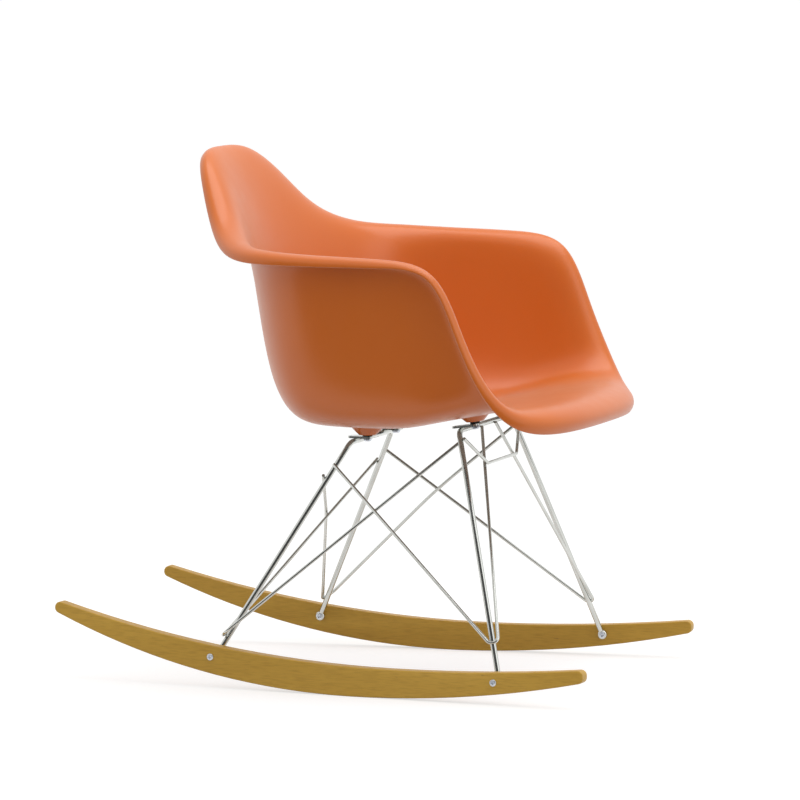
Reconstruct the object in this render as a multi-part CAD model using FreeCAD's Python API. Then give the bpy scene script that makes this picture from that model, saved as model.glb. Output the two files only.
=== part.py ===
import FreeCAD, Part
import math
import os

# Moulded plastic rocking chair: one plastic armchair shell on a welded base of bent steel rod
# and wire, which is screwed to two wooden rocker runners.
# Millimetres. Z is up from the floor, the front is towards -Y, and +X is the sitter's left.
# The origin is on the floor, half-way along the runners and on the plane of symmetry.

Vector = FreeCAD.Vector
X_AXIS = Vector(1, 0, 0)
Z_AXIS = Vector(0, 0, 1)

# Runners
RUNNER_LENGTH = 810.0
RUNNER_THICKNESS = 19.0
RUNNER_TOE = 3.9                # degrees that each runner turns in towards the back
RUNNER_HALF_SPREAD = 252.0      # outer face from the middle plane, at y = 0
CONTACT_Y = -55.0               # where the runner touches the floor at rest
UNDERSIDE_RADIUS_REAR = 1137.0
UNDERSIDE_RADIUS_FRONT = 1618.0
TOP_LOW_Y = -115.0              # lowest point of the runner's top edge
TOP_LOW_Z = 41.4
REAR_TIP_DEPTH = 16.4             # underside to top at the very end, before it is rounded
FRONT_TIP_DEPTH = 18.0
RUNNER_EDGE_RADIUS = 2.0
TIP_RADIUS = 8.0

# Leg rods
ROD_DIAMETER = 8.0
ROD_BEND_RADIUS = 15.0
FRONT_BAR_Y = -171.4
FRONT_BAR_Z = 366.0
FRONT_BAR_HALF = 121.8          # middle plane to the corner of the front rod
REAR_BAR_Y = 1.7
REAR_BAR_Z = 341.0
REAR_BAR_HALF = 91.6
FRONT_BOLT_Y = -272.3
FRONT_BOLT_Z = 31.8
REAR_BOLT_Y = 158.6
REAR_BOLT_Z = 44.5
RUNNER_BOLTS = ((FRONT_BOLT_Y, FRONT_BOLT_Z), (REAR_BOLT_Y, REAR_BOLT_Z))

# Brace wires
WIRE_DIAMETER = 4.8
WIRE_BEND_RADIUS = 7.0
WELD_GAP = 0.15                 # a weld's two round bars lie this close
WIRE_TAIL = 6.0                 # a wire's end reaches this far past its weld
FRONT_WIRE_START_X = 30.1
FRONT_WIRE_AHEAD = 4.1          # the front wire meets the crossbar this far ahead of its axis
FRONT_WIRE_END_Z = 307.6
FRONT_LOOP_Z = 66.9
FRONT_LOOP_WIDTH = 13.5         # across a loop, from its inner run to its outer run
REAR_WIRE_START_Z = 289.3
REAR_WIRE_END_Z = 351.4
REAR_LOOP_Z = 69.9
REAR_LOOP_WIDTH = 23.4
REAR_LOOP_DROP = 1.5            # the outer bend of the rear loop lies this much lower
MIDDLE_CROSS_Y = 69.2           # where the two rear wires cross behind the seat's middle
MIDDLE_CROSS_Z = 226.3
SIDE_CROSS_Z = 251.4            # where a front wire and a rear wire cross
WIRE_CROSS_RADIUS = 300.0       # gentle bend where a wire is pressed against another
TRUSS_Z = 314.2
TRUSS_END_Z = 353.0
TRUSS_TAIL = 2.5

# Plates, spacers, screws and bosses between base and shell
PLATE_THICKNESS = 3.0
PLATE_LENGTH = 36.0
PLATE_WIDTH = 22.0
FRONT_PLATE_TILT = 8.0          # degrees, the plate rises towards the front
FRONT_MOUNT_X = 110.0
FRONT_MOUNT_AHEAD = 21.5        # screw axis ahead of the crossbar
REAR_MOUNT_X = 63.0
REAR_MOUNT_AHEAD = 16.0
PLATE_TAIL = 11.5               # plate behind the crossbar
SCREW_HOLE_DIAMETER = 7.0
FRONT_SPACER_HEIGHT = 3.5
REAR_SPACER_HEIGHT = 1.6
SPACER_DIAMETER = 14.0
WASHER_DIAMETER = 14.0
WASHER_THICKNESS = 1.2
SCREW_DIAMETER = 6.0
SCREW_HEAD_DIAMETER = 11.5
SCREW_HEAD_HEIGHT = 3.6
INSERT_DIAMETER = 9.0
INSERT_LENGTH = 9.0
BOSS_BASE_DIAMETER = 25.0
BOSS_TOP_DIAMETER = 49.0
BOSS_CONE_HEIGHT = 12.0
BOSS_REACH = 22.0               # root above the cone, long enough to run through the skin
INSERT_CLEARANCE = 0.05
BORE_RELIEF = 0.5               # bore past the insert's end
PLATE_CORNER_RADIUS = 5.0
SCREW_CLEARANCE = 0.05
HEAD_DOME = 0.7                 # share of a head's height that is rounded

# Lugs and runner screws
LUG_DIAMETER = 13.0
LUG_LENGTH = 6.8
LUG_CHAMFER = 0.8
LUG_GAP = 0.1
RUNNER_SCREW_DIAMETER = 5.0
RUNNER_SCREW_HEAD_DIAMETER = 10.0
RUNNER_SCREW_HEAD_HEIGHT = 2.4
RECESS_SPAN = 5.0
RECESS_WIDTH = 1.2
RECESS_DEPTH = 1.4

# Shell: each station is a section of the skin, listed for half the shell from front to back.
# crest is the top line of the rolled rim, corner is where seat turns into wall, waist is a
# point of the wall between them. reach is half the length of the corner's bend, flare is how
# far the rim stands out from the wall, and hang is how far its edge is rolled over.
SHELL_WALL = 6.0
HUB_Y = -45.0
HUB_Z = 376.0
HUB_RADIUS = 45.0
RIM_DEPTH = 28.0
RIM_DROP = 9.0
RIM_EDGE_ROUND = 2.5
SHELL_STATIONS = [
    ((0, -368, 386), (0, -190, 394), (0, -262, 407), 40, 24, 13.5),
    ((110, -364, 386), (92, -190, 394), (100, -258, 407), 40, 24, 14.5),
    ((200, -344, 387), (170, -182, 392), (186, -246, 405), 40, 24, 17),
    ((264, -310, 398), (220, -163, 386), (242, -221, 409), 38, 22, 17.5),
    ((298, -276, 442), (240, -139, 378), (265, -189, 424), 36, 20, 14.5),
    ((301, -241, 518), (246, -114, 373), (274, -167, 472), 38, 20, 13),
    ((304, -205, 621), (248, -90, 371), (280, -140, 540), 40, 20, 13),
    ((318, -120, 626), (246, -50, 369), (283, -85, 585), 42, 22, 13),
    ((320, -20, 626), (240, -5, 368), (280, -15, 590), 44, 24, 13),
    ((316, 66, 626), (226, 42, 368), (258, 46, 592), 44, 26, 13),
    ((264, 132, 628), (190, 74, 368), (209, 94, 596), 46, 30, 13),
    ((190, 174, 661), (138, 98, 368), (147, 123, 602), 50, 28, 13),
    ((148, 200, 719), (84, 116, 368), (88, 141, 606), 54, 22, 13),
    ((88, 228, 764), (36, 122, 368), (40, 150, 608), 54, 20, 13),
    ((0, 236, 763), (0, 124, 368), (0, 153, 608), 54, 20, 13),
]


def export(shape, name):
    """Write one sub-part's STEP file."""
    shape.exportStep("parts/%s.step" % name)


def unit(vector):
    return vector * (1.0 / vector.Length)


def mirrored(point):
    """The same point on the other side of the middle plane."""
    return Vector(-point.x, point.y, point.z)


def on_side(point, side):
    return Vector(side * point.x, point.y, point.z)


def point_at_height(line_start, line_end, height):
    """Point of a line at a height above the floor."""
    share = (height - line_start.z) / (line_end.z - line_start.z)
    return line_start + (line_end - line_start) * share


# Seat shell


def shell_nets():
    """Control points of the upper skin and of the skin one wall below it, ring by ring."""
    half = [(Vector(*crest), Vector(*corner), Vector(*waist), reach, flare, hang)
            for crest, corner, waist, reach, flare, hang in SHELL_STATIONS]
    other = [(mirrored(crest), mirrored(corner), mirrored(waist), reach, flare, hang)
             for crest, corner, waist, reach, flare, hang in half[-2:0:-1]]
    stations = half + other
    count = len(stations)
    rings = [[] for _ in range(8)]
    for i, (crest, corner, waist, reach, flare, hang) in enumerate(stations):
        along = unit(stations[(i + 1) % count][0] - stations[i - 1][0])
        rise = crest - waist
        rise = unit(rise - along * rise.dot(along))
        out = unit(along.cross(rise))
        angle = math.atan2(corner.x, HUB_Y - corner.y)
        hub = Vector(HUB_RADIUS * math.sin(angle), HUB_Y - HUB_RADIUS * math.cos(angle), HUB_Z)
        run = corner - hub
        rings[0].append(hub)
        rings[1].append(hub + Vector(run.x, run.y, 0) * 0.33)
        rings[2].append(corner - unit(run) * reach)
        rings[3].append(corner + unit(waist - corner) * reach)
        rings[4].append(waist)
        rings[5].append(crest - out * flare - rise * RIM_DEPTH)
        rings[6].append(crest)
        rings[7].append(crest + out * hang - rise * RIM_DROP)
    lower = []
    for r, ring in enumerate(rings):
        lower_ring = []
        for i, point in enumerate(ring):
            if r < 2:
                normal = Vector(0, 0, -1)
            else:
                across = rings[min(r + 1, 7)][i] - rings[r - 1][i]
                around = ring[(i + 1) % count] - ring[i - 1]
                normal = unit(around.cross(across))
            lower_ring.append(point + normal * SHELL_WALL)
        lower.append(lower_ring)
    return rings, lower


def skin(rings):
    """Cubic B-spline surface, clamped from hub to rim and closed around the shell."""
    spans = len(rings) - 3
    count = len(rings[0])
    surface = Part.BSplineSurface()
    surface.buildFromPolesMultsKnots(
        rings, [4] + [1] * (spans - 1) + [4], [1] * (count + 1),
        [float(k) for k in range(spans + 1)], [float(k) for k in range(count + 1)],
        False, True, 3, 3)
    return surface


def rim_edge(upper, lower):
    """Rounded edge of the rim, from the last ring of one skin to that of the other."""
    first = upper[7]
    last = lower[7]
    bulge_first = [p + unit(p - upper[6][i]) * RIM_EDGE_ROUND for i, p in enumerate(first)]
    bulge_last = [p + unit(p - lower[6][i]) * RIM_EDGE_ROUND for i, p in enumerate(last)]
    count = len(first)
    surface = Part.BSplineSurface()
    surface.buildFromPolesMultsKnots(
        [first, bulge_first, bulge_last, last], [4, 4], [1] * (count + 1),
        [0.0, 1.0], [float(k) for k in range(count + 1)], False, True, 3, 3)
    return surface


def hub_disc(surface):
    """Flat disc that closes a skin in the middle of the seat."""
    return Part.Face(Part.Wire([surface.uIso(0.0).toShape()]))


def mount_frames():
    """Centre of each boss's lower face and the axis that points down from it."""
    tilt = math.radians(FRONT_PLATE_TILT)
    up = Vector(0, math.sin(tilt), math.cos(tilt))
    ahead = Vector(0, -math.cos(tilt), math.sin(tilt))
    bar = Vector(0, FRONT_BAR_Y, FRONT_BAR_Z)
    stack = ROD_DIAMETER / 2 + PLATE_THICKNESS + FRONT_SPACER_HEIGHT
    front = bar + up * stack + ahead * FRONT_MOUNT_AHEAD
    rear_stack = ROD_DIAMETER / 2 + PLATE_THICKNESS + REAR_SPACER_HEIGHT
    rear = Vector(0, REAR_BAR_Y - REAR_MOUNT_AHEAD, REAR_BAR_Z + rear_stack)
    frames = []
    for side in (1, -1):
        frames.append((front + X_AXIS * (side * FRONT_MOUNT_X), up))
        frames.append((rear + X_AXIS * (side * REAR_MOUNT_X), Z_AXIS))
    return frames


def boss(shell, base, up):
    """Tapered boss under the shell, cut off where it meets the lower skin."""
    cone = Part.makeCone(BOSS_BASE_DIAMETER / 2, BOSS_TOP_DIAMETER / 2, BOSS_CONE_HEIGHT, base, up)
    root = Part.makeCylinder(BOSS_TOP_DIAMETER / 2, BOSS_REACH, base + up * BOSS_CONE_HEIGHT, up)
    parts = cone.fuse(root).cut(shell).Solids
    return min(parts, key=lambda piece: piece.CenterOfMass.z)


def seat_shell():
    upper, lower = shell_nets()
    skins = [skin(upper), skin(lower)]
    faces = [surface.toShape() for surface in skins + [rim_edge(upper, lower)]]
    faces += [hub_disc(surface) for surface in skins]
    closed = Part.makeShell(faces)
    closed.sewShape()
    wall = Part.Solid(closed)
    shell = wall
    for base, up in mount_frames():
        shell = shell.fuse(boss(wall, base, up))
    for base, up in mount_frames():
        bore_radius = INSERT_DIAMETER / 2 + INSERT_CLEARANCE
        shell = shell.cut(Part.makeCylinder(bore_radius, INSERT_LENGTH + BORE_RELIEF, base, up))
    return shell


# Bent rods and wires


def bent_path(points, radii):
    """Straight runs through the points, with a tangent arc of its own radius at each bend."""
    edges = []
    here = points[0]
    for before, corner, after, radius in zip(points, points[1:], points[2:], radii):
        back = unit(before - corner)
        ahead = unit(after - corner)
        half_angle = back.getAngle(ahead) / 2
        tangent = radius / math.tan(half_angle)
        middle = unit(back + ahead)
        centre = corner + middle * (radius / math.sin(half_angle))
        arc_start = corner + back * tangent
        arc_end = corner + ahead * tangent
        edges.append(Part.LineSegment(here, arc_start).toShape())
        edges.append(Part.Arc(arc_start, centre - middle * radius, arc_end).toShape())
        here = arc_end
    edges.append(Part.LineSegment(here, points[-1]).toShape())
    return Part.Wire(edges)


def bent_bar(points, radii, diameter):
    """Round bar swept along a bent path."""
    path = bent_path(points, radii)
    circle = Part.makeCircle(diameter / 2, points[0], points[1] - points[0])
    return path.makePipeShell([Part.Wire([circle])], True, False)


def runner_face_x(y):
    """Distance of a runner's inner face from the middle plane."""
    toe = math.radians(RUNNER_TOE)
    return RUNNER_HALF_SPREAD - y * math.tan(toe) - RUNNER_THICKNESS / math.cos(toe)


def lug_centre(bolt_y, bolt_z):
    return Vector(runner_face_x(bolt_y) - LUG_GAP - LUG_LENGTH / 2, bolt_y, bolt_z)


def front_leg():
    """Axis of the left front leg, from the rod's corner to the lug."""
    corner = Vector(FRONT_BAR_HALF, FRONT_BAR_Y, FRONT_BAR_Z)
    return corner, lug_centre(FRONT_BOLT_Y, FRONT_BOLT_Z)


def rear_leg():
    corner = Vector(REAR_BAR_HALF, REAR_BAR_Y, REAR_BAR_Z)
    return corner, lug_centre(REAR_BOLT_Y, REAR_BOLT_Z)


def leg_rod(leg):
    """Crossbar and both legs in one rod, coped to fit the lugs at its ends."""
    corner, foot = leg
    rod = bent_bar([mirrored(foot), mirrored(corner), corner, foot], [ROD_BEND_RADIUS] * 2, ROD_DIAMETER)
    for side in (1, -1):
        centre = on_side(foot, side)
        axis = lug_axis(side)
        length = 2 * ROD_DIAMETER + LUG_LENGTH
        cope = Part.makeCylinder(LUG_DIAMETER / 2 + LUG_GAP, length, centre - axis * (length / 2), axis)
        rod = max(rod.cut(cope).Solids, key=lambda piece: piece.Volume)
    return rod


def beside(bar, anchor, through, towards):
    """Centre of a wire that lies against a bar at the anchor, on its way to another point."""
    distance = (ROD_DIAMETER + WIRE_DIAMETER) / 2 + WELD_GAP
    along = bar[1] - bar[0]
    point = anchor
    for _ in range(8):
        normal = unit(along.cross(through - point))
        if normal.dot(towards) < 0:
            normal = normal * -1
        point = anchor + normal * distance
    return point


def loop_bends(leg, anchor, start, base_run, towards):
    """Two corners of a loop whose first run and base both lie against one side of a leg."""
    distance = (ROD_DIAMETER + WIRE_DIAMETER) / 2 + WELD_GAP
    along = leg[1] - leg[0]
    base_normal = unit(along.cross(base_run))
    if base_normal.dot(towards) < 0:
        base_normal = base_normal * -1
    corner = anchor + base_normal * distance
    for _ in range(8):
        run_normal = unit(along.cross(corner - start))
        if run_normal.dot(towards) < 0:
            run_normal = run_normal * -1
        share = distance / (1 + run_normal.dot(base_normal))
        corner = anchor + (run_normal + base_normal) * share
    return corner, corner + base_run


def butt_end(bar, anchor, origin):
    """End of a wire that comes from the origin and stops short of a bar, aimed at the anchor."""
    run = unit(anchor - origin)
    cosine = abs(run.dot(unit(bar[1] - bar[0])))
    sine = math.sqrt(1 - cosine ** 2)
    return anchor - run * (ROD_DIAMETER / 2 / sine + WIRE_DIAMETER / 2 * cosine / sine + WELD_GAP)


def pressed_corner(before, after, point):
    """Corner of a gentle bend between two points whose arc passes through a third one."""
    corner = point
    for _ in range(8):
        back = unit(before - corner)
        onward = unit(after - corner)
        half_angle = back.getAngle(onward) / 2
        corner = point - unit(back + onward) * (WIRE_CROSS_RADIUS / math.sin(half_angle) - WIRE_CROSS_RADIUS)
    return corner


def past(point, origin, length):
    """A point moved on along the line from the origin."""
    return point + unit(point - origin) * length


def solve_wires():
    """Corners of the left front wire and of the left rear wire, from what they lie against.

    The front wire runs from the front crossbar round the front foot to the rear leg. The rear
    wire runs from the opposite rear leg round the rear foot to the front leg. It passes inside
    the front wire and is pressed against it there.
    """
    front = front_leg()
    rear = rear_leg()
    opposite = (mirrored(rear[0]), mirrored(rear[1]))
    ahead = Vector(0, -1, 0)
    front_start = Vector(FRONT_WIRE_START_X, FRONT_BAR_Y - FRONT_WIRE_AHEAD, FRONT_BAR_Z)
    front_anchor = point_at_height(*front, FRONT_LOOP_Z)
    front_bends = loop_bends(front, front_anchor, front_start, X_AXIS * FRONT_LOOP_WIDTH, ahead)
    front_end = beside(rear, point_at_height(*rear, FRONT_WIRE_END_Z), front_bends[1], X_AXIS)

    middle = Vector(0, MIDDLE_CROSS_Y, MIDDLE_CROSS_Z)
    rear_start = beside(opposite, point_at_height(*opposite, REAR_WIRE_START_Z), middle, ahead * -1)
    rear_base = Vector(REAR_LOOP_WIDTH, 0, -REAR_LOOP_DROP)
    rear_bends = loop_bends(rear, point_at_height(*rear, REAR_LOOP_Z), middle, rear_base, ahead * -1)
    rear_end = point_at_height(*front, REAR_WIRE_END_Z)
    contact = point_at_height(front_bends[1], front_end, SIDE_CROSS_Z)
    cross = contact
    for _ in range(6):
        tangent = unit(cross - rear_bends[1]) + unit(rear_end - cross)
        inward = unit((front_end - front_bends[1]).cross(tangent))
        if inward.x > 0:
            inward = inward * -1
        cross = pressed_corner(rear_bends[1], rear_end, contact + inward * (WIRE_DIAMETER + WELD_GAP))
    return (front_start, *front_bends, front_end), (rear_start, middle, *rear_bends, cross, rear_end)


def front_wire(side):
    start, inner, outer, end = solve_wires()[0]
    corner, _ = front_leg()
    tip = butt_end((mirrored(corner), corner), start, inner)
    points = [tip, inner, outer, past(end, outer, WIRE_TAIL)]
    return bent_bar([on_side(p, side) for p in points], [WIRE_BEND_RADIUS] * 2, WIRE_DIAMETER)


def rear_wire(side):
    start, middle, inner, outer, cross, end = solve_wires()[1]
    tangent = unit(middle - start) + unit(inner - middle)
    apart = unit(tangent.cross(mirrored(tangent)))
    middle = pressed_corner(start, inner, middle + apart * (side * (WIRE_DIAMETER + WELD_GAP) / 2))
    points = [past(start, middle, WIRE_TAIL), middle, inner, outer, cross, butt_end(front_leg(), end, cross)]
    radii = [WIRE_CROSS_RADIUS, WIRE_BEND_RADIUS, WIRE_BEND_RADIUS, WIRE_CROSS_RADIUS]
    return bent_bar([on_side(p, side) for p in points], radii, WIRE_DIAMETER)


def truss_wire():
    """Wire hung under the front crossbar, its lower run in front of both front wires."""
    start, inner, _, _ = solve_wires()[0]
    normal = unit(X_AXIS.cross(start - inner))
    corner = point_at_height(start, inner, TRUSS_Z) + normal * (WIRE_DIAMETER + WELD_GAP)
    leg = front_leg()
    end = beside(leg, point_at_height(*leg, TRUSS_END_Z), corner, Vector(0, -1, 0))
    tip = past(end, corner, TRUSS_TAIL)
    points = [mirrored(tip), mirrored(corner), corner, tip]
    return bent_bar(points, [WIRE_BEND_RADIUS] * 2, WIRE_DIAMETER)


# Runners, lugs and their screws


def lug_axis(side):
    """Direction square to a runner's face, pointing outwards."""
    toe = math.radians(RUNNER_TOE)
    return Vector(side * math.cos(toe), math.sin(toe), 0)


def lug(side, bolt_y, bolt_z):
    centre = on_side(lug_centre(bolt_y, bolt_z), side)
    axis = lug_axis(side)
    start = centre - axis * (LUG_LENGTH / 2)
    body = Part.makeCylinder(LUG_DIAMETER / 2, LUG_LENGTH, start, axis)
    body = body.makeChamfer(LUG_CHAMFER, [e for e in body.Edges if e.isClosed() and e.Length > LUG_DIAMETER])
    hole_radius = RUNNER_SCREW_DIAMETER / 2 + SCREW_CLEARANCE
    return body.cut(Part.makeCylinder(hole_radius, LUG_LENGTH, start, axis))


def arc_height(offset, radius):
    """Height of an arc over its lowest point, at a distance to one side of it."""
    return radius - math.sqrt(radius ** 2 - offset ** 2)


def runner(side):
    half = RUNNER_LENGTH / 2

    def on_underside(y):
        radius = UNDERSIDE_RADIUS_REAR if y > CONTACT_Y else UNDERSIDE_RADIUS_FRONT
        return Vector(0, y, arc_height(y - CONTACT_Y, radius))

    def top_radius(end, tip_depth):
        """Radius of a top arc that leaves the runner its tip depth at one end."""
        reach = end - TOP_LOW_Y
        rise = on_underside(end).z + tip_depth - TOP_LOW_Z
        return (reach ** 2 + rise ** 2) / (2 * rise)

    rear_radius = top_radius(half, REAR_TIP_DEPTH)
    front_radius = top_radius(-half, FRONT_TIP_DEPTH)

    def on_top(y):
        radius = rear_radius if y > TOP_LOW_Y else front_radius
        return Vector(0, y, TOP_LOW_Z + arc_height(y - TOP_LOW_Y, radius))

    def arc(surface, start, end):
        return Part.Arc(surface(start), surface((start + end) / 2), surface(end)).toShape()

    outline = Part.Wire([
        arc(on_underside, -half, CONTACT_Y),
        arc(on_underside, CONTACT_Y, half),
        Part.LineSegment(on_underside(half), on_top(half)).toShape(),
        arc(on_top, half, TOP_LOW_Y),
        arc(on_top, TOP_LOW_Y, -half),
        Part.LineSegment(on_top(-half), on_underside(-half)).toShape(),
    ])
    board = Part.Face(outline).extrude(X_AXIS * RUNNER_THICKNESS)
    board.translate(X_AXIS * (-RUNNER_THICKNESS / 2))
    tips = [e for e in board.Edges
            if abs(e.BoundBox.XLength - RUNNER_THICKNESS) < 0.01 and abs(abs(e.BoundBox.YMin) - half) < 0.01]
    board = board.makeFillet(TIP_RADIUS, tips)
    long_edges = [e for e in board.Edges if e.BoundBox.XLength < 0.01]
    board = board.makeFillet(RUNNER_EDGE_RADIUS, long_edges)
    board.rotate(Vector(0, 0, 0), Z_AXIS, side * RUNNER_TOE)
    toe = math.radians(RUNNER_TOE)
    board.translate(X_AXIS * (side * (RUNNER_HALF_SPREAD - RUNNER_THICKNESS / 2 / math.cos(toe))))
    for bolt_y, bolt_z in RUNNER_BOLTS:
        start = on_side(lug_centre(bolt_y, bolt_z), side)
        hole_radius = RUNNER_SCREW_DIAMETER / 2 + SCREW_CLEARANCE
        length = LUG_LENGTH + LUG_GAP + RUNNER_THICKNESS
        board = board.cut(Part.makeCylinder(hole_radius, length, start, lug_axis(side)))
    return board


def cross_recess(centre, axis):
    """Cross-shaped recess of a screw head, to be cut from its top."""
    across = unit(axis.cross(Z_AXIS)) if abs(axis.z) < 0.9 else X_AXIS
    other = axis.cross(across)
    bars = []
    for long_way, short_way in ((across, other), (other, across)):
        corner = centre - long_way * (RECESS_SPAN / 2) - short_way * (RECESS_WIDTH / 2)
        corners = [corner, corner + long_way * RECESS_SPAN,
                   corner + long_way * RECESS_SPAN + short_way * RECESS_WIDTH,
                   corner + short_way * RECESS_WIDTH]
        bars.append(Part.Face(Part.makePolygon(corners + corners[:1])).extrude(axis * -RECESS_DEPTH))
    return bars[0].fuse(bars[1])


def pan_screw(seat, axis, diameter, length, head_diameter, head_height):
    """Screw with a domed head. The axis points out of the head, and the seat is under it."""
    shank = Part.makeCylinder(diameter / 2, length, seat, axis * -1)
    head = Part.makeCylinder(head_diameter / 2, head_height, seat, axis)
    top = seat + axis * head_height
    rim = [e for e in head.Edges if e.isClosed() and (e.CenterOfMass - top).Length < 0.01]
    head = head.makeFillet(head_height * HEAD_DOME, rim)
    return shank.fuse(head).cut(cross_recess(top, axis))


def runner_screw(side, bolt_y, bolt_z):
    axis = lug_axis(side)
    centre = on_side(lug_centre(bolt_y, bolt_z), side)
    seat = centre + axis * (LUG_LENGTH / 2 + LUG_GAP + RUNNER_THICKNESS)
    length = RUNNER_THICKNESS + LUG_GAP + LUG_LENGTH
    return pan_screw(seat, axis, RUNNER_SCREW_DIAMETER, length,
                     RUNNER_SCREW_HEAD_DIAMETER, RUNNER_SCREW_HEAD_HEIGHT)


# Plates, spacers, washers, screws and inserts between base and shell


def ring(base, axis, outer_diameter, inner_diameter, height):
    outer = Part.makeCylinder(outer_diameter / 2, height, base, axis)
    return outer.cut(Part.makeCylinder(inner_diameter / 2, height, base, axis))


def mount_plate(boss_base, up, spacer_height, ahead_length):
    """Steel tab on top of a crossbar, with the screw's hole in it."""
    ahead = X_AXIS.cross(up) * -1
    top = boss_base - up * spacer_height
    tail = ahead_length + PLATE_TAIL
    plate = Part.makeBox(PLATE_WIDTH, PLATE_LENGTH, PLATE_THICKNESS)
    corners = [e for e in plate.Edges if abs(e.BoundBox.ZLength - PLATE_THICKNESS) < 0.01]
    plate = plate.makeFillet(PLATE_CORNER_RADIUS, corners)
    plate.translate(Vector(-PLATE_WIDTH / 2, tail - PLATE_LENGTH, -PLATE_THICKNESS))
    plate.Placement = FreeCAD.Placement(top, FreeCAD.Rotation(Z_AXIS, up)).multiply(plate.Placement)
    hole = Part.makeCylinder(SCREW_HOLE_DIAMETER / 2, PLATE_THICKNESS, top, up * -1)
    return plate.cut(hole)


def under_plate(base, up, spacer_height):
    return base - up * (spacer_height + PLATE_THICKNESS)


def shell_screw(base, up, spacer_height):
    seat = under_plate(base, up, spacer_height) - up * WASHER_THICKNESS
    length = WASHER_THICKNESS + PLATE_THICKNESS + spacer_height + INSERT_LENGTH
    return pan_screw(seat, up * -1, SCREW_DIAMETER, length, SCREW_HEAD_DIAMETER, SCREW_HEAD_HEIGHT)


def build():
    os.makedirs("parts", exist_ok=True)
    export(seat_shell(), "seat_shell")
    sides = (("left", 1), ("right", -1))
    mounts = mount_frames()
    fronts = mounts[0::2]
    rears = mounts[1::2]
    stacks = [(base, up, FRONT_SPACER_HEIGHT) for base, up in fronts]
    stacks += [(base, up, REAR_SPACER_HEIGHT) for base, up in rears]

    inserts = [ring(base, up, INSERT_DIAMETER, SCREW_DIAMETER + 2 * SCREW_CLEARANCE, INSERT_LENGTH)
               for base, up in mounts]
    export(Part.makeCompound(inserts), "threaded_inserts")
    for name, group, height in (("front_spacers", fronts, FRONT_SPACER_HEIGHT),
                                ("rear_spacers", rears, REAR_SPACER_HEIGHT)):
        rings = [ring(base - up * height, up, SPACER_DIAMETER, SCREW_HOLE_DIAMETER, height)
                 for base, up in group]
        export(Part.makeCompound(rings), name)
    washers = [ring(under_plate(*stack) - stack[1] * WASHER_THICKNESS, stack[1],
                    WASHER_DIAMETER, SCREW_HOLE_DIAMETER, WASHER_THICKNESS) for stack in stacks]
    export(Part.makeCompound(washers), "mount_washers")
    export(Part.makeCompound([shell_screw(*stack) for stack in stacks]), "shell_screws")

    for i, (word, side) in enumerate(sides):
        plate = mount_plate(*fronts[i], FRONT_SPACER_HEIGHT, FRONT_MOUNT_AHEAD)
        export(plate, "mount_plate_front_" + word)
        plate = mount_plate(*rears[i], REAR_SPACER_HEIGHT, REAR_MOUNT_AHEAD)
        export(plate, "mount_plate_rear_" + word)
        export(front_wire(side), "wire_front_" + word)
        export(rear_wire(side), "wire_rear_" + word)
        export(lug(side, *RUNNER_BOLTS[0]), "foot_lug_front_" + word)
        export(lug(side, *RUNNER_BOLTS[1]), "foot_lug_rear_" + word)
        export(runner(side), "runner_" + word)

    export(leg_rod(front_leg()), "front_leg_rod")
    export(leg_rod(rear_leg()), "rear_leg_rod")
    export(truss_wire(), "truss_wire")
    screws = [runner_screw(side, *bolt) for _, side in sides for bolt in RUNNER_BOLTS]
    export(Part.makeCompound(screws), "runner_screws")


build()
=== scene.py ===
"""Looks of the moulded plastic rocking chair.

The shell is a tensor-product cubic B-spline, S(u, t) = sum over i and j of N_i(u) M_j(t) P_ij,
with N_i clamped from the hub of the seat to the rim and M_j periodic around the shell. The
control points P_ij follow from the stations below.

A boss under the shell has the profile z(r) = min(z_skin, z_cone(r)) - max(0, 1 - |d| / k)^2 k / 4,
where d is the difference of the two heights and k the width of the blend between them.

Rods and wires are circles of radius R swept along straight runs joined by tangent arcs. A bend
of radius b between runs that meet at an angle 2a starts b / tan(a) before the corner. A bar's
end is rounded by a quarter circle of radius e: R - e + e sin(q) wide at e - e cos(q) from the end.
"""
import math

import bpy
import numpy as np
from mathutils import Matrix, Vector
from mathutils.bvhtree import BVHTree


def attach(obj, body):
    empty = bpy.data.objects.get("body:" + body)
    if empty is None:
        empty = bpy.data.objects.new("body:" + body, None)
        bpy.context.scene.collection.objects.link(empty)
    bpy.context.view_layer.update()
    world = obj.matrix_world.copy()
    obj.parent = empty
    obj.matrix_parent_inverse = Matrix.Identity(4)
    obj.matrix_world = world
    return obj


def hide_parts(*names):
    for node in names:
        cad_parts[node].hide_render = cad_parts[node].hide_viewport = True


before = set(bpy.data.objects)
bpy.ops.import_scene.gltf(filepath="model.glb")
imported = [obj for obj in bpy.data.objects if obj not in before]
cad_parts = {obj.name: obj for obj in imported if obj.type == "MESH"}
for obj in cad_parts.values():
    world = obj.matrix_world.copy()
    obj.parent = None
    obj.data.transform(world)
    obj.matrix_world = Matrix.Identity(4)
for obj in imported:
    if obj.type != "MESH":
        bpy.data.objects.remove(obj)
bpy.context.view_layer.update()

MM = 0.001

# Camera, fitted to the photograph
CAMERA_AZIMUTH = -71.14
CAMERA_ELEVATION = 5.606
CAMERA_DISTANCE = 8.400
CAMERA_TARGET = (0.0, -0.0418, 0.3946)
CAMERA_LENS = 262.5
CAMERA_SENSOR = 36.0
CAMERA_CLIP_END = 100.0

# Light and floor, in metres
WORLD_LIGHT = 0.78
FLOOR_SHADE = 0.5
FLOOR_GLOW = 0.62
FLOOR_HALF = 40.0

# Lamps: name, place, point it faces, size and power
SOFTBOXES = [
    ("softbox", (0.2, -0.5, 2.6), (0, -0.05, 0.45), (2.2, 2.2), 29),
    ("front_softbox", (-1.0, -3.4, 2.2), (0, -0.05, 0.45), (2.6, 2.0), 12),
]

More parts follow.
